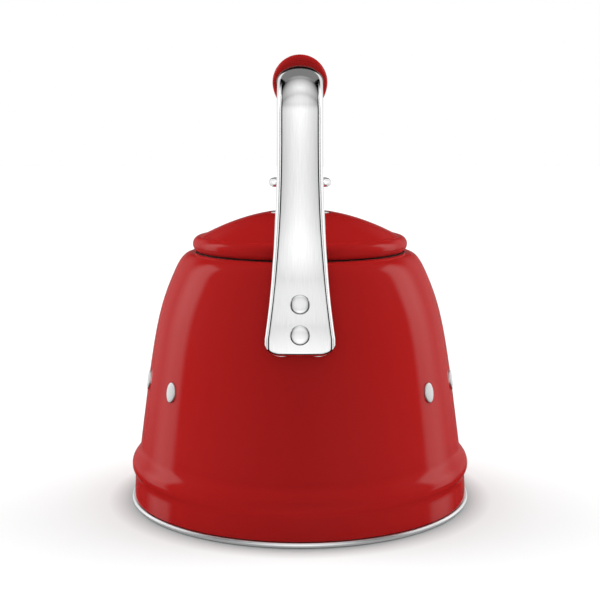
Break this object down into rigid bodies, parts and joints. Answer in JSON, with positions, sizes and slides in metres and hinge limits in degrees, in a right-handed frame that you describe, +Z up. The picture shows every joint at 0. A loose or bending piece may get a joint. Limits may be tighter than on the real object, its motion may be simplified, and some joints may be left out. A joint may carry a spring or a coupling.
{
  "type": "stovetop whistling kettle",
  "caption": "Bell-shaped stovetop kettle with a lift-off lid, a riveted steel handle arm with a round grip, and a short spout closed by a pull-out whistle.",
  "frame": {"origin": "centre of the flat underside, on the vertical axis of the body", "axes": "+Z up along the body's axis, +Y towards the spout, -Y towards the foot of the handle arm, +X to the right seen from behind the handle"},
  "size_m": [0.1996, 0.2316, 0.256],
  "materials": {
    "red_enamel": "high gloss vitreous enamel",
    "red_grip": "gloss",
    "polished_steel": "mirror polished",
    "badge_steel": "satin",
    "base_steel": "circular satin",
    "inner_steel": "satin",
    "spreader_aluminium": "rolled",
    "black_silicone": "matt",
    "black_plastic": "fine matt"
  },
  "bodies": {
    "root": {"body_shell": "red_enamel", "mouth_ring": "red_enamel", "base_pan": "base_steel", "heat_spreader": "spreader_aluminium", "base_plate": "base_steel", "handle_strap": "polished_steel", "backing_plate": "inner_steel", "rivet_lower": "polished_steel", "rivet_upper": "polished_steel", "badge_left_1": "badge_steel", "badge_left_2": "badge_steel", "badge_left_3": "badge_steel", "badge_left_4": "badge_steel", "badge_right_1": "badge_steel", "badge_right_2": "badge_steel", "badge_right_3": "badge_steel", "badge_right_4": "badge_steel", "spout_tube": "red_enamel", "spout_collar": "polished_steel", "handle_grip": "red_grip", "grip_core": "black_plastic", "grip_cap": "polished_steel", "grip_screw": "polished_steel"},
    "lid": {"lid_shell": "red_enamel", "lid_liner": "inner_steel", "lid_seal": "black_silicone", "lid_spacer": "inner_steel", "knob_flange": "polished_steel", "lid_knob": "polished_steel", "knob_washer": "inner_steel", "knob_screw": "inner_steel"},
    "whistle": {"whistle_sleeve": "inner_steel", "whistle_seal": "black_silicone", "whistle_inner_disc": "inner_steel", "whistle_spacer": "inner_steel", "whistle_outer_disc": "inner_steel", "whistle_grip": "black_plastic"}
  },
  "joints": [
    {"name": "lid_lift", "type": "slide", "parent": "root", "child": "lid", "axis": [0, 0, 1], "range_m": [0, 0.03]},
    {"name": "whistle_pull", "type": "slide", "parent": "root", "child": "whistle", "axis": [0, 0.7071, 0.7071], "range_m": [0, 0.03]}
  ]
}
